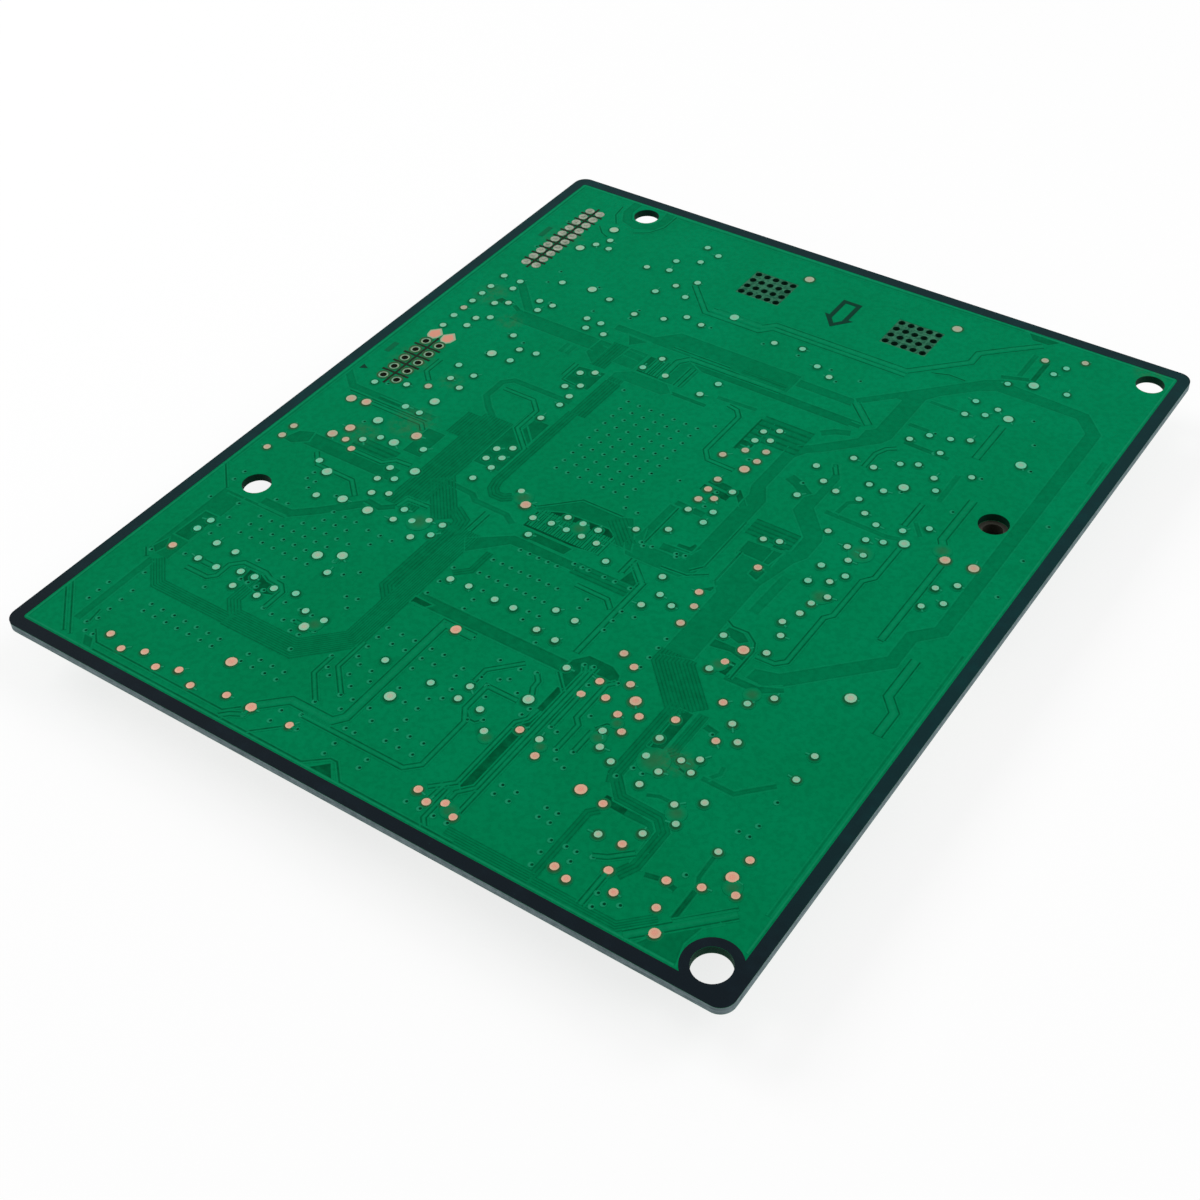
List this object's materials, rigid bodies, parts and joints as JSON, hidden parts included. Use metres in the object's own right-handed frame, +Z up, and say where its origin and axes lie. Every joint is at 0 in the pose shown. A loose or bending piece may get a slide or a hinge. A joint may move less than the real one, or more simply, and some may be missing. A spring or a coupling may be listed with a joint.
{
  "type": "refrigerator control board",
  "caption": "Rectangular green circuit board for a refrigerator controller, lying soldered side up: dark printed border, rows of round test pads, plug header joints, vent holes and screw holes.",
  "frame": {"origin": "middle of the board's length and width, at the level of the connector mouths that it lies on", "axes": "+X along the short side, from the plug header's side to the earthing hole's side; +Y along the long side, towards the vent panels and the arrow's tail; +Z up, out of the soldered side"},
  "size_m": [0.11, 0.13, 0.0094],
  "materials": {
    "laminate": "sawn and routed glass-epoxy laminate, pale grey-green",
    "solder_mask": "green lacquer over etched copper, satin gloss",
    "band_ink": "near-black printed ink",
    "legend_ink": "near-black printed ink",
    "barrier_ink": "dark printed ink with flux residue",
    "tinned_pad": "flat solder finish, dull",
    "bare_copper": "bare copper with a clear protective film, salmon",
    "plated_hole": "copper plating with a thin tin finish",
    "solder": "dull wave solder",
    "pin_metal": "tin-plated brass",
    "connector_white": "natural moulded nylon",
    "chip_black": "moulded epoxy, matt black",
    "base_black": "moulded plastic, black",
    "can_aluminium": "drawn aluminium can",
    "ferrite": "pressed ferrite, dark grey",
    "tab_metal": "tin-plated copper",
    "fuse_body": "white ceramic",
    "crystal_can": "pressed steel can",
    "sounder_brown": "moulded plastic, dark brown",
    "resistor_black": "glazed black resistor film on white ceramic",
    "capacitor_tan": "fired ceramic, tan",
    "lamp_lens": "clear to milky lens"
  },
  "bodies": {
    "root": {"laminate": "laminate", "joint_side_mask": "solder_mask", "part_side_mask": "solder_mask", "edge_band": "band_ink", "legend": "legend_ink", "solder_barriers": "barrier_ink", "tinned_test_pads": "tinned_pad", "copper_test_pads": "bare_copper", "large_tinned_test_pads": "tinned_pad", "large_copper_test_pads": "bare_copper", "solder_thieves": "bare_copper", "spare_hole_barrels": "plated_hole", "plug_header_joints": "solder", "plug_header_pins": "pin_metal", "plug_header_shroud": "connector_white", "sensor_connector_shroud": "connector_white", "sensor_connector_pins": "pin_metal", "fan_connector_shroud": "connector_white", "fan_connector_pins": "pin_metal", "display_connector_shroud": "connector_white", "display_connector_pins": "pin_metal", "supply_connector_shroud": "connector_white", "supply_connector_pins": "pin_metal", "connector_tabs": "tab_metal", "processor": "chip_black", "heater_driver": "chip_black", "fan_driver": "chip_black", "damper_driver": "chip_black", "program_memory": "chip_black", "settings_memory": "chip_black", "bus_transceiver": "chip_black", "couplers": "chip_black", "capacitor_bases": "base_black", "capacitor_cans": "can_aluminium", "inductors": "ferrite", "regulator": "chip_black", "regulator_heat_tab": "tab_metal", "diodes": "chip_black", "fuse": "fuse_body", "clock_crystal": "crystal_can", "door_alarm_buzzer": "sounder_brown", "transistors": "chip_black", "chip_resistors": "resistor_black", "ceramic_capacitors": "capacitor_tan", "status_lamp": "lamp_lens"}
  },
  "joints": []
}
